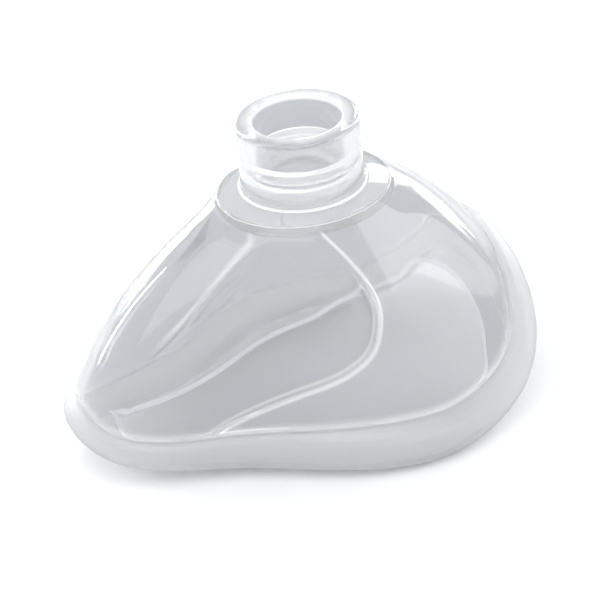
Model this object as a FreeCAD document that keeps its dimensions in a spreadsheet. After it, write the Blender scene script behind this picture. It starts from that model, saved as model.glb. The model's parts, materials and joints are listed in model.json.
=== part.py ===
import FreeCAD, Part, Sketcher
import math, os
from FreeCAD import Vector

doc = FreeCAD.newDocument("face_mask")

# ---------------------------------------------------------------- sizes (mm)
# Every plain size sits in one sheet.  A Size carries the number together with
# the text of its expression, so a sketch is drawn and bound in one go.
sheet = doc.addObject("Spreadsheet::Sheet", "Sizes")
TABLE = [
    ("port_x", 8.3, "port axis, measured from the middle of the footprint"),
    ("total_height", 82.0, "port top above the table"),
    ("bore_r", 11.0, "22 mm socket for the valve elbow"),
    ("port_r", 15.5, "outside of the socket wall"),
    ("port_height", 18.3, "socket above the shoulder"),
    ("socket_depth", 9.0, "smooth part of the socket"),
    ("groove_r", 12.3, "relief grooves between the sealing ribs"),
    ("groove_height", 3.0, "height of one relief groove"),
    ("rib_height", 2.0, "height of the sealing rib between grooves"),
    ("throat_r", 10.2, "opening from the socket down into the dome"),
    ("lead_in", 0.8, "bevel at the mouth of the socket"),
    ("rim_round", 0.9, "bevel on the outer top edge of the socket"),
    ("shoulder_r", 22.2, "round shoulder that carries the socket"),
    ("shoulder_drop", 0.8, "fall of the shoulder from socket to edge"),
    ("shoulder_proud", 0.4, "step of the shoulder above the dome"),
    ("shoulder_wall", 3.2, "thickness of the shoulder disc"),
    ("skirt_height", 5.2, "edge of the shoulder, down inside the dome opening"),
    ("skirt_wall", 2.4, "thickness of that edge"),
    ("weld_leg", 2.2, "blend between socket and shoulder"),
    ("bond_gap", 0.02, "bond line between neighbouring pieces"),
    ("dome_wall", 2.4, "dome wall thickness"),
    ("rim_wall", 2.0, "cushion rim wall thickness"),
    ("lip_root", 1.6, "face lip thickness where it leaves the rim"),
    ("lip_wall", 1.2, "face lip thickness at its edge"),
    ("rim_drop", 5.9, "rim below its widest line"),
    ("rim_tuck", 5.0, "how far the rim rolls in down to its lowest line"),
    ("lip_start", 8.5, "how far in the rim hands over to the lip"),
    ("lip_rise", 0.4, "start of the lip above the lowest line of the rim"),
    ("lip_sag", 0.8, "how far the lip sags halfway to its edge"),
    ("scoop_depth", 1.5, "depth of the finger scoops"),
    ("scoop_ramp", 2.5, "width of the step round a scoop"),
    ("scoop_fade", 22.0, "length over which a scoop runs out towards the nose"),
    ("scoop_end", -46.0, "where a scoop has run out, measured from the port axis"),
    ("scoop_head", 66.0, "height at which a scoop would run out upwards"),
    ("scoop_head_fade", 10.0, "height over which it does so"),
]


class Size:
    def __init__(self, value, text):
        self.value, self.text = value, text

    def __add__(self, other):
        return Size(self.value + other.value, self.text + " + " + other.text)

    def __sub__(self, other):
        return Size(self.value - other.value, self.text + " - " + other.text)


size = {}
for row, (alias, value, note) in enumerate(TABLE, 1):
    sheet.set("A%d" % row, alias)
    sheet.set("B%d" % row, str(value))
    sheet.set("C%d" % row, note)
    sheet.setAlias("B%d" % row, alias)
    size[alias] = Size(value, "Sizes." + alias)
doc.recompute()
mm = {alias: size[alias].value for alias in size}


# ------------------------------------------------ turned bodies (port, shoulder)
def turned(label, corners):
    """A body turned about the port axis from (radius, height) corners."""
    body = doc.addObject("PartDesign::Body", label)
    body.Label = label
    sketch = body.newObject("Sketcher::SketchObject", label + "_section")
    plane = [f for f in body.Origin.OriginFeatures if f.Role == "XZ_Plane"][0]
    sketch.AttachmentSupport = [(plane, "")]
    sketch.MapMode = "FlatFace"
    count = len(corners)
    points = [Vector(r.value, z.value, 0) for r, z in corners]
    for i in range(count):
        sketch.addGeometry(Part.LineSegment(points[i], points[(i + 1) % count]))
    for i in range(count):
        sketch.addConstraint(Sketcher.Constraint("Coincident", i, 2, (i + 1) % count, 1))
    for i, (r, z) in enumerate(corners):
        for kind, length in (("DistanceX", r), ("DistanceY", z)):
            index = sketch.addConstraint(
                Sketcher.Constraint(kind, -1, 1, i, 1, length.value))
            sketch.setExpression("Constraints[%d]" % index, length.text)
    turn = body.newObject("PartDesign::Revolution", label + "_turn")
    turn.Profile = sketch
    turn.ReferenceAxis = (sketch, ["V_Axis"])
    turn.Angle = 360.0
    body.setExpression("Placement.Base.x", "Sizes.port_x")
    doc.recompute()


s = size
top = s["total_height"]
seat = top - s["port_height"]
groove_1 = top - s["socket_depth"]
rib_1 = groove_1 - s["groove_height"]
groove_2 = rib_1 - s["rib_height"]
rib_2 = groove_2 - s["groove_height"]
turned("port_collar", [
    (s["bore_r"] + s["lead_in"], top),
    (s["port_r"] - s["rim_round"], top),
    (s["port_r"], top - s["rim_round"]),
    (s["port_r"], seat),
    (s["bore_r"], seat),
    (s["bore_r"], rib_2),
    (s["groove_r"], rib_2),
    (s["groove_r"], groove_2),
    (s["bore_r"], groove_2),
    (s["bore_r"], rib_1),
    (s["groove_r"], rib_1),
    (s["groove_r"], groove_1),
    (s["bore_r"], groove_1),
    (s["bore_r"], top - s["lead_in"]),
])

edge_top = seat - s["shoulder_drop"]
turned("shoulder", [
    (s["throat_r"], seat),
    (s["port_r"], seat),
    (s["port_r"] + s["weld_leg"], seat - s["shoulder_proud"]),
    (s["shoulder_r"], edge_top),
    (s["shoulder_r"], edge_top - s["skirt_height"]),
    (s["shoulder_r"] - s["skirt_wall"], edge_top - s["skirt_height"]),
    (s["shoulder_r"] - s["skirt_wall"], seat - s["shoulder_wall"]),
    (s["throat_r"], seat - s["shoulder_wall"]),
])

# ------------------------------------------- outline of the soft parts (one half)
# Stations from the chin tip round one cheek to the nose tip.  x is measured
# from the port axis, z from the table; x, y, z follow the widest line of the
# rim.  seam_in / seam_up place the joint with the dome, lip_in / lip_up the
# free edge of the face lip, both measured from the widest line.  bow is how far
# the dome bulges out of the straight line from the shoulder to the seam.
STATIONS = [
    # x      y     z   seam_in seam_up lip_in lip_up bow
    (52.5,  0.0, 29.5,  7.0, 10.5, 13.0, -7.5, 4.0),
    (50.5, 23.5, 23.5,  6.5,  9.5, 14.5, -5.5, 3.5),
    (43.0, 35.5, 13.5,  5.5,  7.0, 13.5, -2.0, 3.5),
    (28.0, 42.5,  7.0,  6.5,  5.0, 13.0, -0.5, 5.0),
    (10.0, 45.5,  6.0,  6.5,  6.0, 17.5, -1.5, 6.0),
    (-12.0, 39.0, 7.0,  4.0,  6.5, 16.5, -2.0, 7.0),
    (-33.0, 26.5, 7.5,  2.8,  5.0, 15.0, -1.5, 8.5),
    (-52.0, 20.0, 9.5,  2.6,  3.5, 12.0, -3.0, 10.0),
    (-65.0, 12.5, 13.0, 2.6,  4.0, 11.5, -2.5, 11.0),
    (-69.0,  0.0, 15.0, 3.6,  5.0, 13.5, -2.5, 11.0),
]
loop = STATIONS + [(r[0], -r[1]) + r[2:] for r in STATIONS[-2:0:-1]]

# Stations are spaced along the outline by the distance between them.
knots = [0.0]
for a, b in zip(loop, loop[1:] + loop[:1]):
    knots.append(knots[-1] + math.dist(a[:3], b[:3]) ** 0.5)


def smooth_loop(rows, params):
    curve = Part.BSplineCurve()
    curve.interpolate(Points=[Vector(*r) for r in rows], PeriodicFlag=True,
                      Parameters=params)
    return curve


STEPS = 120
widest = smooth_loop([r[:3] for r in loop], knots)
seam_law = smooth_loop([(seam_in, seam_up, bow)
                        for x, y, z, seam_in, seam_up, lip_in, lip_up, bow in loop], knots)
lip_law = smooth_loop([(lip_in, lip_up, 0)
                       for x, y, z, seam_in, seam_up, lip_in, lip_up, bow in loop], knots)
up = Vector(0, 0, 1)
around = []
for i in range(STEPS):
    u = knots[-1] * i / STEPS
    p = widest.value(u)
    along = widest.tangent(u)[0]
    out = Vector(along.y, -along.x, 0).normalize()
    if out.dot(Vector(p.x, p.y, 0)) < 0:
        out = -out
    around.append((p, out, seam_law.value(u), lip_law.value(u)))

# The dome skin meets the shoulder this high.
HEAD_HEIGHT = (mm["total_height"] - mm["port_height"] - mm["shoulder_drop"]
               - mm["shoulder_proud"])


def ring_dome(share):
    """One ring of the dome skin: 0 at the shoulder edge, 1 at the seam."""
    points = []
    for p, out, seam, lip in around:
        foot = p - out * seam.x + up * seam.y
        turn = math.atan2(p.y, p.x)
        head = Vector(mm["shoulder_r"] * math.cos(turn), mm["shoulder_r"] * math.sin(turn),
                      HEAD_HEIGHT)
        span = foot - head
        away = Vector(foot.x, foot.y, 0).normalize()
        bulge = (away * -span.z + up * span.dot(away)).normalize()
        middle = (head + foot) * 0.5 + bulge * seam.z
        points.append(head * (1 - share) ** 2 + middle * (2 * share * (1 - share))
                      + foot * share ** 2)
    return points


THROAT_SHRINK, THROAT_RISE = 0.86, 1.4


def ring_throat():
    """The dome skin carried on inside the shoulder edge, trimmed off later."""
    return [Vector(q.x * THROAT_SHRINK, q.y * THROAT_SHRINK, q.z + THROAT_RISE)
            for q in ring_dome(0)]


def ring_upper(turn):
    """Rim skin between the seam (0) and the widest line (90 degrees)."""
    c, w = math.cos(math.radians(turn)), 1 - math.sin(math.radians(turn))
    return [p - out * (seam.x * w) + up * (seam.y * c) for p, out, seam, lip in around]


def ring_lower(turn):
    """Rim skin between the widest line (0) and the lowest line (90 degrees)."""
    c, w = 1 - math.cos(math.radians(turn)), math.sin(math.radians(turn))
    return [p - out * (mm["rim_tuck"] * c) - up * (mm["rim_drop"] * w)
            for p, out, seam, lip in around]


def ring_lip(share):
    """Underside from the end of the rim (0) to the free edge of the lip (1)."""
    points = []
    start = Vector(mm["lip_start"], mm["lip_rise"] - mm["rim_drop"], 0)
    sag = mm["lip_sag"] * 4 * share * (1 - share)
    for p, out, seam, lip in around:
        q = start + (lip - start) * share
        points.append(p - out * q.x + up * (q.y - sag))
    return points


# Rings from the throat to the lip edge; SEAM and HAND number the rings where
# the dome hands over to the rim, and the rim to the lip.
SEAM, TURN_STEP = 15, 15
skin = [ring_throat()] + [ring_dome(k / (SEAM - 1)) for k in range(SEAM - 1)]
walls = [mm["dome_wall"]] * SEAM
for turn in range(0, 90, TURN_STEP):
    skin.append(ring_upper(turn))
    walls.append(mm["dome_wall"] if turn == 0 else mm["rim_wall"])
for turn in range(0, 91, TURN_STEP):
    skin.append(ring_lower(turn))
    walls.append(mm["rim_wall"])
HAND = len(skin)
for third in range(4):
    share = third / 3
    skin.append(ring_lip(share))
    walls.append(mm["lip_root"] + (mm["lip_wall"] - mm["lip_root"]) * share)


def moved_in(rings, depths):
    """The same rings pushed square off the skin, to the inside."""
    result = []
    for j, ring in enumerate(rings):
        before, after = rings[max(j - 1, 0)], rings[min(j + 1, len(rings) - 1)]
        if j == SEAM:
            after = ring
        row = []
        for i, q in enumerate(ring):
            down = after[i] - before[i]
            side = ring[(i + 1) % STEPS] - ring[i - 1]
            row.append(q + side.cross(down).normalize() * depths[j])
        result.append(row)
    return result


# All rings share one spacing, so neighbouring rings never twist.
ring_knots = [float(i) for i in range(STEPS + 1)]


def wire(ring):
    return Part.Wire([smooth_loop(ring, ring_knots).toShape()])


def tube(outer, inner, straight=False):
    """Closed solid between two stacks of rings, smooth or straight from ring to ring."""
    faces = list(Part.makeLoft(outer, False, straight).Faces)
    faces += Part.makeLoft(inner, False, straight).Faces
    for a, b in ((outer[0], inner[0]), (outer[-1], inner[-1])):
        faces.append(Part.makeRuledSurface(a.Edges[0], b.Edges[0]))
    shell = Part.makeShell(faces)
    shell.sewShape()
    solid = Part.makeSolid(shell)
    if solid.Volume < 0:
        solid.reverse()
    return solid


inside = moved_in(skin, walls)
skin_wires = [wire(r) for r in skin]
inside_wires = [wire(r) for r in inside]


# ------------------------------------------------------ finger scoops of the dome
# Seen from the side, one scoop is bounded by a crease along the nose ridge, by
# the shoulder, and by a step that curls round like a C to the seam.
# The corners (x from the port axis, z) start where the crease meets the shoulder.
OUTLINE = [(-20, 59), (-17, 66), (-7, 66), (0, 54.5), (4, 47), (5, 40), (1.5, 32), (-6, 27.2),
           (-18, 22.8), (-29, 17.5), (-39, 13), (-58, 13), (-58, 28), (-40, 42.2), (-30, 50.5)]
SEAM_FADE = 2.0     # rings over which a scoop runs out towards the seam


def inside_scoop(x, z):
    """1 well inside the side-view outline, 0 outside, with a short ramp between."""
    nearest, crossings = math.inf, 0
    for (x1, z1), (x2, z2) in zip(OUTLINE, OUTLINE[1:] + OUTLINE[:1]):
        dx, dz = x2 - x1, z2 - z1
        t = max(0.0, min(1.0, ((x - x1) * dx + (z - z1) * dz) / (dx * dx + dz * dz)))
        nearest = min(nearest, math.hypot(x - x1 - t * dx, z - z1 - t * dz))
        if (z1 > z) != (z2 > z) and x < x1 + dx * (z - z1) / dz:
            crossings += 1
    distance = nearest if crossings % 2 else -nearest
    return max(0.0, min(1.0, 0.5 + distance / mm["scoop_ramp"]))


def scoop_depth(q, share):
    """How far the dome wall is pressed in at a point of its skin."""
    along = (q.x - mm["scoop_end"]) / mm["scoop_fade"]
    above = (mm["scoop_head"] - q.z) / mm["scoop_head_fade"]
    below = (1 - share) * (SEAM - 1) / SEAM_FADE
    fade = max(0.0, min(1.0, along, above, below))
    return mm["scoop_depth"] * fade * inside_scoop(q.x, q.z)


def pressed(rings, extra):
    """The dome rings with the scoops pressed in, plus an even extra depth."""
    unit = moved_in(rings, [1.0] * len(rings))
    result = []
    for j, (ring, inner) in enumerate(zip(rings, unit)):
        share = (j - 1) / (SEAM - 1)
        result.append([q + (n - q) * (scoop_depth(q, share) + extra)
                       for q, n in zip(ring, inner)])
    return result


dome_rings = skin[:SEAM + 1]
outer_wires = [wire(r) for r in pressed(dome_rings, 0.0)[:-1]] + [skin_wires[SEAM]]
inner_wires = [wire(r) for r in pressed(dome_rings, mm["dome_wall"])[:-1]]
inner_wires.append(inside_wires[SEAM])
port_hole = Part.makeCylinder(mm["shoulder_r"] + mm["bond_gap"], mm["total_height"],
                              Vector(0, 0, mm["total_height"] / 2))
dome = tube(outer_wires, inner_wires, True).cut(port_hole).Solids[0]
rim = tube(skin_wires[SEAM:HAND + 1], inside_wires[SEAM:HAND + 1], True)
lip = tube(skin_wires[HAND:], inside_wires[HAND:], True)

for label, shape in (("dome_shell", dome), ("cushion_rim", rim), ("face_lip", lip)):
    piece = doc.addObject("Part::Feature", label)
    piece.Label = label
    piece.Shape = shape
    if label != "dome_shell":
        piece.setExpression("Placement.Base.z", "-Sizes.bond_gap")
    piece.setExpression("Placement.Base.x", "Sizes.port_x")
doc.recompute()

# ------------------------------------------------------------- checks and files
os.makedirs("parts", exist_ok=True)
for obj in doc.Objects:
    if "Invalid" in obj.State or "Error" in obj.State:
        raise RuntimeError("%s did not compute" % obj.Label)
for node in ("port_collar", "shoulder", "dome_shell", "cushion_rim", "face_lip"):
    shape = doc.getObject(node).Shape
    if not shape.isValid() or not shape.Solids:
        raise RuntimeError("%s is not a sound solid" % node)
    box = shape.BoundBox
    print(node, len(shape.Solids), round(shape.Volume, 1), [round(v, 2) for v in (
        box.XMin, box.XMax, box.YMin, box.YMax, box.ZMin, box.ZMax)])
    shape.exportStep("parts/%s.step" % node)
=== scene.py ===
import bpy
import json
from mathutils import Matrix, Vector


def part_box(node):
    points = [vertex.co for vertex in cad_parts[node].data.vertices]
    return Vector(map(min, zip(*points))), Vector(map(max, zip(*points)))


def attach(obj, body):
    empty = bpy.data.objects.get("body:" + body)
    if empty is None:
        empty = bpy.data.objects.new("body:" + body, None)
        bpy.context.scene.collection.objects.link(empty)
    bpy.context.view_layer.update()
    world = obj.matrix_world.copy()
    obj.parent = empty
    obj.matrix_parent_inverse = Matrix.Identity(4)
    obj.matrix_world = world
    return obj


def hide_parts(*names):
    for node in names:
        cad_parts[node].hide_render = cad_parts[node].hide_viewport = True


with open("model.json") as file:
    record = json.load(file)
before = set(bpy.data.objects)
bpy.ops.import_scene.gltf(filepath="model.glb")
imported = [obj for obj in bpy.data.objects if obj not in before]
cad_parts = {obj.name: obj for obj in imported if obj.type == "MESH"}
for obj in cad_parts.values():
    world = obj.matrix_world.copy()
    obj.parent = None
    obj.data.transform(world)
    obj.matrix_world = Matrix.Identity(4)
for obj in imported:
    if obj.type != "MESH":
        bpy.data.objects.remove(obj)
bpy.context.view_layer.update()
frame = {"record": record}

import json
from math import cos, hypot, pi, radians, sin
import bmesh
import bpy
import numpy as np
from mathutils import Matrix, Vector, kdtree

# ============================================================ studio
# A plain pale table under a soft white sky, with six rectangular soft boxes.
# The camera stands a little over half a metre away, slightly tipped.
AXIS_X = frame["record"]["mounts"][0]["pos_m"][0]
PORT_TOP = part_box("port_collar")[1][2]

bpy.ops.object.select_all(action="DESELECT")
TABLE_SIZE = 6
bpy.ops.mesh.primitive_plane_add(size=TABLE_SIZE, location=(0, 0, 0))
table = bpy.context.object
table.name = "table"


class Signal:
    """A socket's value in a material, with arithmetic written as in plain maths."""

    def __init__(self, tree, socket):
        self.tree, self.socket = tree, socket

    def maths(self, operation, *values):
        node = self.tree.nodes.new("ShaderNodeMath")
        node.operation = operation
        for slot, value in zip(node.inputs, values):
            if isinstance(value, Signal):
                self.tree.links.new(value.socket, slot)
            else:
                slot.default_value = value
        return Signal(self.tree, node.outputs[0])

    def __add__(self, other):
        return self.maths("ADD", self, other)

    def __radd__(self, other):
        return self.maths("ADD", other, self)

    def __sub__(self, other):
        return self.maths("SUBTRACT", self, other)

    def __rsub__(self, other):
        return self.maths("SUBTRACT", other, self)

    def __mul__(self, other):
        return self.maths("MULTIPLY", self, other)

    def __rmul__(self, other):
        return self.maths("MULTIPLY", other, self)


class Finish:
    """A material being built; add() puts in any node with its settings and inputs."""

    def __init__(self, name):
        self.material = bpy.data.materials.new(name)
        self.material.use_nodes = True
        self.tree = self.material.node_tree
        self.tree.nodes.clear()
        self.out = self.tree.nodes.new("ShaderNodeOutputMaterial")

    def add(self, kind, output=0, settings=None, **inputs):
        node = self.tree.nodes.new("ShaderNode" + kind)
        for key, value in (settings or {}).items():
            setattr(node, key, value)
        for key, value in inputs.items():
            slot = node.inputs[key.replace("_", " ")]
            if isinstance(value, Signal):
                self.tree.links.new(value.socket, slot)
            else:
                slot.default_value = value
        return Signal(self.tree, node.outputs[output])

    def place(self):
        return self.add("TexCoord", output="Object")

    def done(self, shader):
        self.tree.links.new(shader.socket, self.out.inputs["Surface"])
        return self.material


cloth = Finish("table_top")
table.data.materials.append(cloth.done(cloth.add(
    "BsdfPrincipled", Base_Color=(0.82, 0.823, 0.827, 1), Roughness=0.8)))

world = bpy.data.worlds.new("studio")
bpy.context.scene.world = world
world.use_nodes = True
sky = world.node_tree
sky.nodes.clear()
backdrop = sky.nodes.new("ShaderNodeBackground")
backdrop.inputs["Strength"].default_value = 1.0
ramp = sky.nodes.new("ShaderNodeValToRGB")
ramp.color_ramp.elements[0].color = (0.97, 0.97, 0.975, 1)
ramp.color_ramp.elements[0].position = 0.5
ramp.color_ramp.elements[1].color = (0.80, 0.805, 0.815, 1)
ramp.color_ramp.elements[1].position = 0.72
direction = sky.nodes.new("ShaderNodeTexCoord")
split = sky.nodes.new("ShaderNodeSeparateXYZ")
half = sky.nodes.new("ShaderNodeMath")
half.operation = "MULTIPLY_ADD"
half.inputs[1].default_value = 0.5
half.inputs[2].default_value = 0.5
sky.links.new(direction.outputs["Generated"], split.inputs[0])
sky.links.new(split.outputs["Z"], half.inputs[0])
sky.links.new(half.outputs[0], ramp.inputs[0])
sky.links.new(ramp.outputs[0], backdrop.inputs["Color"])
sky.links.new(backdrop.outputs[0], sky.nodes.new("ShaderNodeOutputWorld").inputs[0])


MASK_MIDDLE = Vector((0.01, 0, 0.04))


def soft_box(name, place, size, watts):
    """A rectangular soft box facing the mask."""
    bpy.ops.object.light_add(type="AREA", location=place)
    box = bpy.context.object
    box.name = name
    box.data.shape = "RECTANGLE"
    box.data.size, box.data.size_y = size
    box.data.energy = watts
    box.rotation_euler = (MASK_MIDDLE - Vector(place)).to_track_quat("-Z", "Y").to_euler()


soft_box("right_strip", (0.93, 0.60, 0.20), (0.62, 0.13), 3.6)
soft_box("front_panel", (0.86, -0.42, 0.42), (0.7, 0.42), 2.4)
soft_box("window_box", (-0.05, 1.00, 0.17), (0.9, 0.20), 5.5)
soft_box("left_strip", (-0.70, 0.70, 0.36), (0.06, 0.6), 3.6)
soft_box("small_box", (0.50, 0.73, 0.50), (0.16, 0.16), 0.8)
soft_box("top_box", (-0.4, -0.5, 1.0), (1.3, 1.3), 9)

TURN, RISE, TIP, REACH = radians(-20), radians(31.4), radians(5.9), 0.650
aim = Vector((AXIS_X - 0.005, 0, 0.035))
back = Vector((sin(TURN) * cos(RISE), -cos(TURN) * cos(RISE), sin(RISE)))
level = Vector((cos(TURN), sin(TURN), 0))
upright = back.cross(level)
right = level * cos(TIP) - upright * sin(TIP)
over = level * sin(TIP) + upright * cos(TIP)
bpy.ops.object.camera_add()
camera = bpy.context.object
camera.matrix_world = Matrix.Translation(aim + back * REACH) @ Matrix(
    (right, over, back)).transposed().to_4x4()
camera.data.lens = 153.4
camera.data.sensor_width = 36
camera.data.shift_x, camera.data.shift_y = 0.0088, -0.0257
camera.data.clip_start = 0.05
bpy.context.scene.camera = camera
bpy.context.scene.view_settings.view_transform = "Standard"
CLEAR_WALL_BOUNCES = 20
bpy.context.scene.cycles.max_bounces = CLEAR_WALL_BOUNCES
bpy.context.scene.cycles.transmission_bounces = CLEAR_WALL_BOUNCES


# ============================================================ port collar
# The thick socket that takes the 22 mm valve outlet.  Clear silicone, moulded
# in one with the dome; inside, a smooth entry and then ribs that grip and seal.
def turned(name, profile, steps=160):
    """A closed ring turned in edit mode from (radius, height) corners in metres."""
    bpy.ops.object.select_all(action="DESELECT")
    bpy.ops.mesh.primitive_circle_add(vertices=len(profile), radius=0.01)
    ring = bpy.context.object
    ring.name = name
    for vertex, (radius, height) in zip(ring.data.vertices, profile):
        vertex.co = (AXIS_X + radius, 0, height)
    bpy.ops.object.mode_set(mode="EDIT")
    bpy.ops.mesh.select_all(action="SELECT")
    bpy.ops.mesh.spin(steps=steps, angle=2 * pi, center=(AXIS_X, 0, 0), axis=(0, 0, 1))
    bpy.ops.mesh.select_all(action="SELECT")
    bpy.ops.mesh.remove_doubles(threshold=1e-6)
    bpy.ops.mesh.normals_make_consistent(inside=False)
    bpy.ops.object.mode_set(mode="OBJECT")
    return ring


def rounded(corners, steps=5):
    """Outline with its corners rounded; a corner is (radius, height, rounding)."""
    points = []
    count = len(corners)
    for i, (r, z, size) in enumerate(corners):
        here = Vector((r, z))
        before = Vector(corners[i - 1][:2]) - here
        after = Vector(corners[(i + 1) % count][:2]) - here
        if not size:
            points.append(here)
            continue
        size = min(size, 0.45 * before.length, 0.45 * after.length)
        start, end = here + before.normalized() * size, here + after.normalized() * size
        for k in range(steps + 1):
            t = k / steps
            points.append(start * (1 - t) ** 2 + here * (2 * t * (1 - t)) + end * t * t)
    return [tuple(p) for p in points]


BORE, OUTSIDE, GROOVE, THROAT = 0.0110, 0.0155, 0.0123, 0.0102
COLLAR_FOOT = PORT_TOP - 0.0183
collar = turned("port_collar_moulded", rounded([
    (BORE, PORT_TOP, 0.0011),
    (OUTSIDE, PORT_TOP, 0.0012),
    (OUTSIDE, COLLAR_FOOT + 0.0030, 0),
    (OUTSIDE, COLLAR_FOOT + 0.0018, 0),
    (OUTSIDE, COLLAR_FOOT - 0.0001, 0),
    (BORE, COLLAR_FOOT - 0.0001, 0),
    (BORE, PORT_TOP - 0.0170, 0.0004),
    (GROOVE, PORT_TOP - 0.0164, 0.0005),
    (GROOVE, PORT_TOP - 0.0142, 0.0005),
    (BORE, PORT_TOP - 0.0136, 0.0005),
    (BORE, PORT_TOP - 0.0124, 0.0005),
    (GROOVE, PORT_TOP - 0.0118, 0.0005),
    (GROOVE, PORT_TOP - 0.0096, 0.0005),
    (BORE, PORT_TOP - 0.0090, 0.0004),
]))


def clear_silicone(name, tint, roughness, ripple, clearness):
    """Clear moulded silicone: faint flow ripples and a little haze left by handling.

    Where the mesh is marked, painted highlight lines: the colour goes to white and the wall glows a
    little (emission)."""
    finish = Finish(name)
    highlight_marks = finish.add("Attribute", output="Fac", settings={"attribute_name": "edge_line"})
    colour = finish.add("Mix", output=2, settings={"data_type": "RGBA"}, Factor=highlight_marks)
    plain_colour, highlight_colour = colour.socket.node.inputs[6:8]
    plain_colour.default_value = tint
    highlight_colour.default_value = (1, 1, 1, 1)
    place = finish.place()
    haze = finish.add("TexNoise", Vector=place, Scale=38.0, Detail=4.0, Roughness=0.6)
    flow = finish.add("TexNoise", Vector=place, Scale=55.0, Detail=2.0, Roughness=0.5)
    grain = finish.add("TexNoise", Vector=place, Scale=900.0, Detail=2.0, Roughness=0.6)
    height = flow * 0.8 + grain * 0.006
    bump = finish.add("Bump", Strength=ripple, Distance=0.0004, Height=height)
    # Painted highlight: on marked lines, a white base colour and a small emission glow.
    return finish.done(finish.add(
        "BsdfPrincipled", Base_Color=colour, Roughness=roughness + haze * 0.03, IOR=1.41,
        Transmission_Weight=clearness, Normal=bump, Emission_Color=highlight_marks, Emission_Strength=0.14))


def milky_silicone_painted_glow(name, painted_glow):
    """Edges of the silicone walls: milky, with a painted glow (emission) so that they show as bright
    lines.
    """
    finish = Finish(name)
    cloud = finish.add("TexNoise", Vector=finish.place(), Scale=300.0, Detail=2.0)
    return finish.done(finish.add(
        "BsdfPrincipled", Base_Color=(0.92, 0.923, 0.927, 1), Roughness=0.35 + cloud * 0.1,
        IOR=1.41, Transmission_Weight=0.35, Emission_Color=(0.96, 0.98, 1, 1),
        Emission_Strength=painted_glow))


# Painted glow: a faint emission on the milky edges of dome, rim and shoulder.
milky_edge = milky_silicone_painted_glow("milky_edge", 0.02)
port_finish = clear_silicone("clear_silicone_thick", (0.86, 0.87, 0.885, 1), 0.05, 0.10, 0.67)
# Painted shade: the bore wall gets a much darker tint, for the shade inside the socket.
bore_painted_shade_finish = clear_silicone("clear_silicone_bore", (0.42, 0.43, 0.455, 1), 0.05, 0.05, 0.80)
disc_finish = clear_silicone("clear_silicone_disc", (0.84, 0.85, 0.865, 1), 0.05, 0.10, 0.74)
for finish in (port_finish, bore_painted_shade_finish, disc_finish):
    collar.data.materials.append(finish)
IN_SHADED_BORE, ON_TOP = 1, 2
# Painted highlights: the rib ramps in the bore and a ring round the foot are marked to show white
# and glow.
FOOT_HIGHLIGHT = 0.7
rib_and_foot_highlights = collar.data.attributes.new("edge_line", "FLOAT", "POINT")
for vertex in collar.data.vertices:
    reach = hypot(vertex.co.x - AXIS_X, vertex.co.y)
    on_ramp = BORE + 0.00005 < reach < GROOVE - 0.00005
    at_foot = reach > GROOVE and vertex.co.z < COLLAR_FOOT + 0.0019
    rib_and_foot_highlights.data[vertex.index].value = on_ramp or FOOT_HIGHLIGHT * at_foot
# The top ring takes the disc finish; the bore faces take the painted shade finish.
for face in collar.data.polygons:
    reach = hypot(face.center.x - AXIS_X, face.center.y)
    if face.center.z > PORT_TOP - 0.0012:
        face.material_index = ON_TOP
    elif reach < BORE + 0.0003:
        face.material_index = IN_SHADED_BORE
bpy.ops.object.shade_smooth_by_angle(angle=radians(40))
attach(collar, "root")
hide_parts("port_collar")

# ============================================================ shoulder
# The round, slightly domed disc between collar and dome.  Clear silicone; a
# soft fillet runs into the collar and a small step marks its edge.
# It is a little narrower across the mask than along it.
SHOULDER_R, SHOULDER_ACROSS, EDGE = 0.0222, 0.0206, COLLAR_FOOT - 0.0008
ROUND_TO = OUTSIDE + 0.0010
shoulder = turned("shoulder_moulded", rounded([
    (THROAT, COLLAR_FOOT, 0.0008),
    (OUTSIDE, COLLAR_FOOT, 0),
    (OUTSIDE, COLLAR_FOOT + 0.0019, 0),
    (OUTSIDE + 0.0002, COLLAR_FOOT + 0.0019, 0),
    (OUTSIDE + 0.0004, COLLAR_FOOT + 0.0001, 0.0016),
    (OUTSIDE + 0.0024, COLLAR_FOOT - 0.0002, 0.0015),
    (SHOULDER_R, EDGE, 0.0007),
    (SHOULDER_R, EDGE - 0.0032, 0.0004),
    (SHOULDER_R - 0.0024, EDGE - 0.0030, 0.0008),
    (THROAT, COLLAR_FOOT - 0.0032, 0.0009),
]))
for vertex in shoulder.data.vertices:
    reach = hypot(vertex.co.x - AXIS_X, vertex.co.y)
    outer_share = max(0, (reach - ROUND_TO) / (SHOULDER_R - ROUND_TO))
    vertex.co.y *= 1 - outer_share * (1 - SHOULDER_ACROSS / SHOULDER_R)
shoulder.data.materials.append(disc_finish)
shoulder.data.materials.append(milky_edge)
# The shoulder's edge and a ring round its foot take the milky edge finish, with its faint painted
# glow.
for face in shoulder.data.polygons:
    reach = hypot(face.center.x - AXIS_X, face.center.y)
    oval = hypot((face.center.x - AXIS_X) / SHOULDER_R, face.center.y / SHOULDER_ACROSS)
    at_edge = oval > 0.995 and face.center.z > EDGE - 0.0004
    at_foot = OUTSIDE + 0.0003 < reach < OUTSIDE + 0.0006 and face.center.z > EDGE
    face.material_index = int(at_edge or at_foot)
bpy.ops.object.shade_smooth_by_angle(angle=radians(40))
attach(shoulder, "root")
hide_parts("shoulder")

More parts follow.
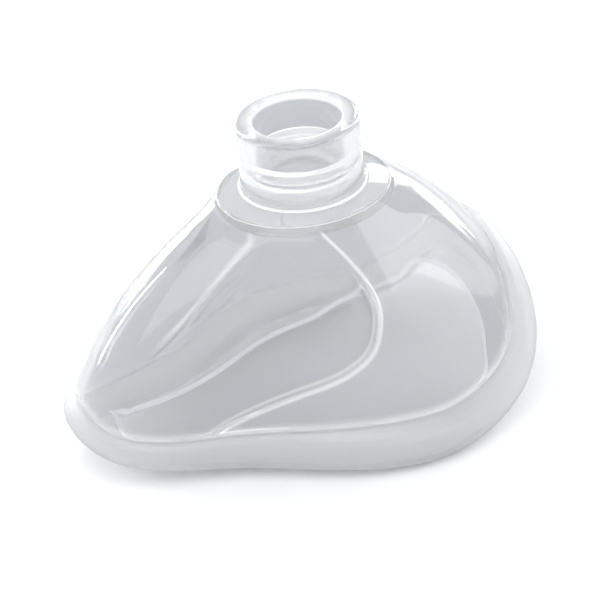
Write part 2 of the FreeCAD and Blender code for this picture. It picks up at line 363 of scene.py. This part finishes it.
# ============================================================ dome shell
# The clear teardrop dome over nose, mouth and chin.  Thin silicone, moulded
# over a core; each flank has a scoop for thumb and fingers, with a C-shaped
# step at the chin side and a crease along the nose ridge.
# Outline stations from chin tip to nose tip, in millimetres from the port axis:
# x, y, z of the widest line, then seam inset and rise, lip inset and rise, bow.
STATIONS = np.array([
    (52.5,  0.0, 29.5,  7.0, 10.5, 13.0, -7.5, 4.0),
    (50.5, 23.5, 23.5,  6.5,  9.5, 14.5, -5.5, 3.5),
    (43.0, 35.5, 13.5,  5.5,  7.0, 13.5, -2.0, 3.5),
    (28.0, 42.5,  7.0,  6.5,  5.0, 13.0, -0.5, 5.0),
    (10.0, 45.5,  6.0,  6.5,  6.0, 17.5, -1.5, 6.0),
    (-12.0, 39.0, 7.0,  4.0,  6.5, 16.5, -2.0, 7.0),
    (-33.0, 26.5, 7.5,  2.8,  5.0, 15.0, -1.5, 8.5),
    (-52.0, 20.0, 9.5,  2.6,  3.5, 12.0, -3.0, 10.0),
    (-65.0, 12.5, 13.0, 2.6,  4.0, 11.5, -2.5, 11.0),
    (-69.0,  0.0, 15.0, 3.6,  5.0, 13.5, -2.5, 11.0),
]) / 1000
other_side = STATIONS[-2:0:-1] * ((1, -1) + (1,) * 6)
loop = np.vstack([STATIONS, other_side])


def smooth_loop(rows, where):
    """Smooth closed curve through the rows, read at places 0..1 round the loop."""
    gaps = np.sqrt(np.linalg.norm(np.roll(rows[:, :3], -1, 0) - rows[:, :3], axis=1))
    count = len(rows)
    knots = np.concatenate([[0], np.cumsum(gaps)])
    system, pull = np.zeros((count, count)), np.zeros(rows.shape)
    for i in range(count):
        a, b = gaps[i - 1], gaps[i]
        system[i, i - 1] += a
        system[i, i] += 2 * (a + b)
        system[i, (i + 1) % count] += b
        pull[i] = 6 * ((rows[(i + 1) % count] - rows[i]) / b - (rows[i] - rows[i - 1]) / a)
    bend = np.linalg.solve(system, pull)
    u = np.asarray(where) * knots[-1]
    i = np.clip(np.searchsorted(knots, u, side="right") - 1, 0, count - 1)
    j, h = (i + 1) % count, gaps[i][:, None]
    s, t = (u - knots[i])[:, None], (knots[i + 1] - u)[:, None]
    return (bend[i] * t ** 3 + bend[j] * s ** 3) / (6 * h) + (
        rows[i] / h - bend[i] * h / 6) * t + (rows[j] / h - bend[j] * h / 6) * s


AROUND = 88
laws = smooth_loop(loop, np.arange(AROUND) / AROUND)
widest = laws[:, :3]
nearby = smooth_loop(loop, (np.arange(AROUND) / AROUND + 1e-4) % 1)[:, :3]
along = (nearby - widest)[:, :2]
outward = np.stack([along[:, 1], -along[:, 0], 0 * along[:, 0]], 1)
outward /= np.linalg.norm(outward, axis=1)[:, None]
UP = np.array((0, 0, 1.0))


def from_widest(inset, rise):
    """A ring held at an inset from the widest line, and a rise above it."""
    return widest - outward * np.reshape(inset, (-1, 1)) + UP * np.reshape(rise, (-1, 1))


seam_ring = from_widest(laws[:, 3], laws[:, 4])
bearing = np.arctan2(widest[:, 1], widest[:, 0])
head_ring = np.stack([SHOULDER_R * np.cos(bearing), SHOULDER_ACROSS * np.sin(bearing),
                      np.full(AROUND, EDGE - 0.0004)], 1)


def dome_ring(share):
    """One level of the dome skin: 0 at the shoulder, 1 at the seam with the rim."""
    span = seam_ring - head_ring
    run = np.hypot(seam_ring[:, 0], seam_ring[:, 1])[:, None]
    away = seam_ring * (1, 1, 0) / run
    bow = away * -span[:, 2:] + UP * np.sum(span * away, axis=1)[:, None]
    bow /= np.linalg.norm(bow, axis=1)[:, None]
    middle = (head_ring + seam_ring) / 2 + bow * laws[:, 7:8]
    return head_ring * (1 - share) ** 2 + middle * (2 * share * (1 - share)) + seam_ring * share ** 2


def drawn_out(name, rings, sharp=()):
    """A skin drawn ring by ring from a circle of edges; sharp rings keep their corner."""
    bpy.ops.object.select_all(action="DESELECT")
    bpy.ops.mesh.primitive_circle_add(vertices=AROUND, radius=0.02)
    skin = bpy.context.object
    skin.name = name
    bpy.ops.object.mode_set(mode="EDIT")
    for level, ring in enumerate(rings):
        if level:
            bpy.ops.mesh.extrude_edges_move()
        cage = bmesh.from_edit_mesh(skin.data)
        cage.verts.ensure_lookup_table()
        picked = [v for v in cage.verts if v.select]
        for vertex, place in zip(picked, ring):
            vertex.co = (place[0] + AXIS_X, place[1], place[2])
        bmesh.update_edit_mesh(skin.data)
        if level in sharp:
            bpy.ops.transform.edge_crease(value=1)
    bpy.ops.object.mode_set(mode="OBJECT")
    return skin


def smooth_cage(skin, levels=2):
    """Rounds a drawn cage between its rings."""
    smoothing = skin.modifiers.new("smoothing", "SUBSURF")
    smoothing.levels = smoothing.render_levels = levels
    bpy.ops.object.modifier_apply(modifier=smoothing.name)


def agree_normals():
    """Makes the active piece's faces agree on which way is out."""
    bpy.ops.object.mode_set(mode="EDIT")
    bpy.ops.mesh.select_all(action="SELECT")
    bpy.ops.mesh.normals_make_consistent(inside=False)
    bpy.ops.object.mode_set(mode="OBJECT")


def thicken(skin, thickness):
    """Gives a skin a wall on its inside; returns where the skin's points were."""
    agree_normals()
    outermost = max(skin.data.vertices, key=lambda vertex: vertex.co.x)
    if outermost.normal.x < 0:
        skin.data.flip_normals()
    skin_places = [vertex.co.copy() for vertex in skin.data.vertices]
    wall = skin.modifiers.new("wall", "SOLIDIFY")
    wall.thickness, wall.offset = thickness, -1
    wall.material_offset_rim = 1
    bpy.ops.object.modifier_apply(modifier=wall.name)
    return skin_places


# Side view of one scoop in millimetres from the port axis: the C-shaped step
# from shoulder to seam, then the straight crease back up along the nose ridge.
C_STEP = np.array([(-7, 66), (-4.5, 61), (0, 54.5), (4, 47), (5, 40), (1.5, 32), (-6, 27.2),
                   (-18, 22.8), (-29, 17.5), (-39, 12), (-45, 8)]) / 1000
CREASE = np.array([(-70, 8), (-58, 28.5), (-40, 42.2), (-30, 50.5), (-20.5, 59), (-17, 66)]) / 1000


def rounded_line(points, steps=10):
    """A smooth line through the points."""
    ends = np.vstack([2 * points[0] - points[1], points, 2 * points[-1] - points[-2]])
    line = []
    for a, b, c, d in zip(ends, ends[1:], ends[2:], ends[3:]):
        for t in np.arange(steps) / steps:
            line.append(0.5 * (2 * b + (c - a) * t + (2 * a - 5 * b + 4 * c - d) * t ** 2
                               + (3 * b - a - 3 * c + d) * t ** 3))
    return np.array(line + [points[-1]])


def distance_to(line, x, z):
    """Distance of each place to a line of points."""
    best = np.full(len(x), np.inf)
    for (x1, z1), (x2, z2) in zip(line, line[1:]):
        dx, dz = x2 - x1, z2 - z1
        t = np.clip(((x - x1) * dx + (z - z1) * dz) / (dx * dx + dz * dz), 0, 1)
        best = np.minimum(best, np.hypot(x - x1 - t * dx, z - z1 - t * dz))
    return best


def inside_of(line, x, z):
    """True where a place lies inside the closed line."""
    hits = np.zeros(len(x), int)
    for (x1, z1), (x2, z2) in zip(line, np.roll(line, -1, 0)):
        crosses = (z1 > z) != (z2 > z)
        hits += crosses & (x < x1 + (x2 - x1) * (z - z1) / (z2 - z1 + 1e-12))
    return hits % 2 == 1


def ease(value):
    value = np.clip(value, 0, 1)
    return value * value * (3 - 2 * value)


def near_scoop_edge(places, reach):
    """True for places close to the step or the crease of a scoop."""
    x, z = places[:, 0] - AXIS_X, places[:, 2]
    return np.minimum(distance_to(rounded_line(C_STEP), x, z), distance_to(CREASE, x, z)) < reach


def share_of_shoulder(places):
    """How far out each place lies: 1 on the shoulder's oval edge."""
    return np.hypot((places[:, 0] - AXIS_X) / SHOULDER_R, places[:, 1] / SHOULDER_ACROSS)


def refine_steps(skin, reach=0.0024, cuts=2):
    """Finer faces along the steps and creases, so that they press in crisply."""
    close = near_scoop_edge(np.array([face.center[:] for face in skin.data.polygons]), reach)
    bpy.ops.object.mode_set(mode="EDIT")
    bpy.ops.mesh.select_mode(type="FACE")
    bpy.ops.mesh.select_all(action="DESELECT")
    bpy.ops.object.mode_set(mode="OBJECT")
    skin.data.polygons.foreach_set("select", close)
    bpy.ops.object.mode_set(mode="EDIT")
    bpy.ops.mesh.subdivide(number_cuts=cuts, smoothness=0)
    bpy.ops.mesh.select_mode(type="VERT")
    bpy.ops.object.mode_set(mode="OBJECT")


def distance_to_seam(places):
    """Distance of each place to the joint between dome and rim."""
    steps = 20
    joint = kdtree.KDTree(AROUND * steps)
    for i, (start, end) in enumerate(zip(seam_ring, np.roll(seam_ring, -1, 0))):
        for k in range(steps):
            joint.insert(start + (end - start) * k / steps + (AXIS_X, 0, 0), i * steps + k)
    joint.balance()
    return np.array([joint.find(place)[2] for place in places])


def fading(value, start, length):
    """0 up to start, then a smooth rise to 1 over the length."""
    return ease((value - start) / length)


def line_at(distance, half_width):
    """1 on a line, falling to 0 at half its width away."""
    return np.clip(1 - np.abs(distance) / half_width, 0, 1)


def press_scoops(skin, depth=0.0015, step=0.0013, soft=0.0030):
    """Presses both finger scoops into the dome skin, square to its surface.

    It then marks painted highlight lines, which show white and glow: the step and its foot,
    the crease, the joint with the rim and the edge under the shoulder."""
    mesh = skin.data
    places = np.empty(len(mesh.vertices) * 3)
    mesh.vertices.foreach_get("co", places)
    places = places.reshape(-1, 3)
    normals = np.array([v.normal[:] for v in mesh.vertices])
    x, z = places[:, 0] - AXIS_X, places[:, 2]
    c_line = rounded_line(C_STEP)
    inside = inside_of(np.vstack([c_line, CREASE]), x, z)
    to_step = distance_to(c_line, x, z)
    to_crease = distance_to(CREASE, x, z)
    wall = ease(to_step / step) * ease(to_crease / soft)
    seam_gap = distance_to_seam(places)
    to_nose, to_shoulder, to_seam = (
        fading(x, -0.046, 0.022), fading(-z, -0.0612, 0.013), fading(seam_gap, 0, 0.006))
    fade = np.minimum.reduce([to_nose, to_shoulder, to_seam])
    deep = np.where(inside, depth * wall * fade, 0)
    places -= normals * deep[:, None]
    mesh.vertices.foreach_set("co", places.ravel())
    # Painted highlights: white, glowing lines on the step's top and foot, the crease, the joint with
    # the rim and the edge under the shoulder.
    top_of_step = line_at(to_step - 0.0001, 0.0005) * fading(-z, -0.064, 0.004)
    foot_of_step = line_at(to_step - 0.0015, 0.0005) * inside * fading(-z, -0.054, 0.012)
    crease = line_at(to_crease, 0.0008) * fading(-z, -0.062, 0.002)
    scoop_highlights = np.maximum.reduce([top_of_step, 0.6 * foot_of_step, 0.6 * crease])
    seam_highlight = 1 - fading(seam_gap, 0.0003, 0.0016)
    shoulder_edge_highlight = 1 - fading(share_of_shoulder(places), 1, 0.07)
    painted_highlight = np.maximum.reduce([
        0.8 * scoop_highlights * fading(x, -0.050, 0.010), 0.6 * seam_highlight, 0.4 * shoulder_edge_highlight])
    highlight_marks = mesh.attributes.new("edge_line", "FLOAT", "POINT")
    highlight_marks.data.foreach_set("value", painted_highlight.astype(np.float32))
    mesh.update()


def soften_inside(wall, skin_places, reach=0.0045, clear_of_seam=0.0012, rounds=40):
    """Rounds the inside of the wall where it turns tighter than the wall is thick.

    That is along the scoops' steps and creases, and round the opening at the top."""
    count = len(skin_places)
    skin = np.array([skin_places[vertex.index % count][:] for vertex in wall.data.vertices])
    moved = np.array([(vertex.co - skin_places[vertex.index % count]).length > DOME_WALL / 2
                      for vertex in wall.data.vertices])
    tight = near_scoop_edge(skin, reach) | (skin[:, 2] > EDGE - reach)
    off_the_ends = (distance_to_seam(skin) > clear_of_seam) & (
        share_of_shoulder(skin) > THROAT_SHARE + 0.002)
    bpy.ops.object.mode_set(mode="EDIT")
    bpy.ops.mesh.select_all(action="DESELECT")
    bpy.ops.object.mode_set(mode="OBJECT")
    wall.data.vertices.foreach_set("select", moved & tight & off_the_ends)
    bpy.ops.object.mode_set(mode="EDIT")
    bpy.ops.mesh.vertices_smooth(factor=0.5, repeat=rounds)
    bpy.ops.object.mode_set(mode="OBJECT")


DOME_WALL, THROAT_SHARE, DOME_STEPS = 0.0024, 0.985, 15
throat_ring = head_ring * (THROAT_SHARE, THROAT_SHARE, 1) + (0, 0, 0.0001)
dome = drawn_out("dome_moulded", [throat_ring] + [
    dome_ring(k / DOME_STEPS) for k in range(DOME_STEPS + 1)])
smooth_cage(dome)
agree_normals()
refine_steps(dome)
press_scoops(dome)
dome_finish = clear_silicone("clear_silicone_dome", (0.70, 0.71, 0.73, 1), 0.05, 0.10, 0.76)
for finish in (dome_finish, milky_edge):
    dome.data.materials.append(finish)
soften_inside(dome, thicken(dome, DOME_WALL))
bpy.ops.object.shade_smooth_by_angle(angle=radians(50))
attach(dome, "root")
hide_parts("dome_shell")

# ============================================================ cushion rim
# The rolled rim that seals on the face.  The same silicone with a fine matt
# texture moulded in; hollow underneath, so that it yields.
RIM_DROP, RIM_TUCK, RIM_WALL = 0.0059, 0.0050, 0.0020
LIP_START, LIP_RISE, LIP_SAG, LIP_ROOT, LIP_EDGE = 0.0085, 0.0004, 0.0032, 0.0016, 0.0012


def rim_upper(turn):
    """Rim skin from the seam (0) to the widest line (a quarter turn)."""
    return from_widest(laws[:, 3] * (1 - sin(turn)), laws[:, 4] * cos(turn))


def rim_lower(turn):
    """Rim skin from the widest line (0) down to the lowest line (a quarter turn)."""
    return from_widest(RIM_TUCK * (1 - cos(turn)), -RIM_DROP * sin(turn))


def wall_side(ring, before, after):
    """Direction square to the skin at one ring, pointing out of the mask."""
    around = np.roll(ring, -1, 0) - np.roll(ring, 1, 0)
    side = np.cross(after - before, around)
    return side / np.linalg.norm(side, axis=1)[:, None]


def hollow_wall(name, outer, sides, depths, finishes, sharp):
    """A closed wall: outer rings down, inner rings back up, and the ends between.

    The first end is always square; the last one is square if sharp, else rounded."""
    inner = [ring - side * depth for ring, side, depth in zip(outer, sides, depths)]
    rings = outer + inner[::-1] + outer[:1]
    last, count = len(outer) - 1, len(rings)
    corners = (0, count - 2, count - 1) + ((last, last + 1) if sharp else ())
    wall = drawn_out(name, rings, corners)
    for finish in finishes:
        wall.data.materials.append(finish)
    ends = (len(outer), count - 1) if sharp else (last, last + 1, last + 2, count - 1)
    for face in wall.data.polygons:
        face.material_index = int(face.index // AROUND + 1 in ends)
    bpy.ops.object.mode_set(mode="EDIT")
    bpy.ops.mesh.select_all(action="SELECT")
    bpy.ops.mesh.remove_doubles(threshold=1e-6)
    bpy.ops.mesh.normals_make_consistent(inside=False)
    bpy.ops.object.mode_set(mode="OBJECT")
    smooth_cage(wall)
    bpy.ops.object.shade_smooth_by_angle(angle=radians(50))
    return wall


def lip_ring(share):
    """The flap from the rim (0) to its free edge (1)."""
    inset = LIP_START + (laws[:, 5] - LIP_START) * share
    start = LIP_RISE - RIM_DROP
    return from_widest(inset, start + (laws[:, 6] - start) * share - LIP_SAG * share * (1 - share))


BOND_GAP, ROUND_STEPS = 0.00003, 6
quarter = [pi / 2 * k / ROUND_STEPS for k in range(ROUND_STEPS + 1)]
rim_rings = [seam_ring - UP * BOND_GAP] + [rim_upper(turn) for turn in quarter[1:-1]]
rim_rings += [rim_lower(turn) for turn in quarter] + [lip_ring(0)]
rim_sides = [wall_side(seam_ring, dome_ring(0.97), dome_ring(1))]
rim_sides += [wall_side(ring, before, after) for before, ring, after in zip(
    rim_rings, rim_rings[1:], rim_rings[2:] + [lip_ring(0.15)])]
rim_depths = [DOME_WALL] + [RIM_WALL] * (len(rim_rings) - 2) + [LIP_ROOT]

frosted = Finish("frosted_silicone")
place = frosted.place()
fine = frosted.add("TexNoise", Vector=place, Scale=1400.0, Detail=3.0, Roughness=0.7)
cloud = frosted.add("TexNoise", Vector=place, Scale=45.0, Detail=3.0, Roughness=0.55)
bump = frosted.add("Bump", Strength=0.25, Distance=0.00012, Height=fine + cloud * 0.3)
rim_finish = frosted.done(frosted.add(
    "BsdfPrincipled", Base_Color=(0.82, 0.825, 0.83, 1), Roughness=0.38 + cloud * 0.12, IOR=1.41,
    Transmission_Weight=0.72, Normal=bump))
rim = hollow_wall("cushion_rim_moulded", rim_rings, rim_sides, rim_depths,
                  (rim_finish, milky_edge), sharp=True)
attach(rim, "root")
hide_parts("cushion_rim")

# ============================================================ face lip
# The thin flap turned in from the rim; its free edge, thinner than its root and
# rounded, borders the opening for the face.
lip_shares = (0.008, 0.2, 0.4, 0.6, 0.8, 0.94, 1)
lip_rings = [lip_ring(share) for share in lip_shares]
lip_sides = [rim_sides[-1]] + [wall_side(ring, before, after) for before, ring, after in zip(
    lip_rings, lip_rings[1:], lip_rings[2:] + lip_rings[-1:])]
lip_depths = [LIP_ROOT + (LIP_EDGE - LIP_ROOT) * share for share in lip_shares]
lip_finish = clear_silicone("lip_silicone", (0.92, 0.925, 0.93, 1), 0.15, 0.15, 0.55)
# Painted highlight: the lip's free edge glows strongly, for the bright line along it.
lip = hollow_wall("face_lip_moulded", lip_rings, lip_sides, lip_depths,
                  (lip_finish, milky_silicone_painted_glow("milky_lip_edge", 0.36)), sharp=False)
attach(lip, "root")
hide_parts("face_lip")
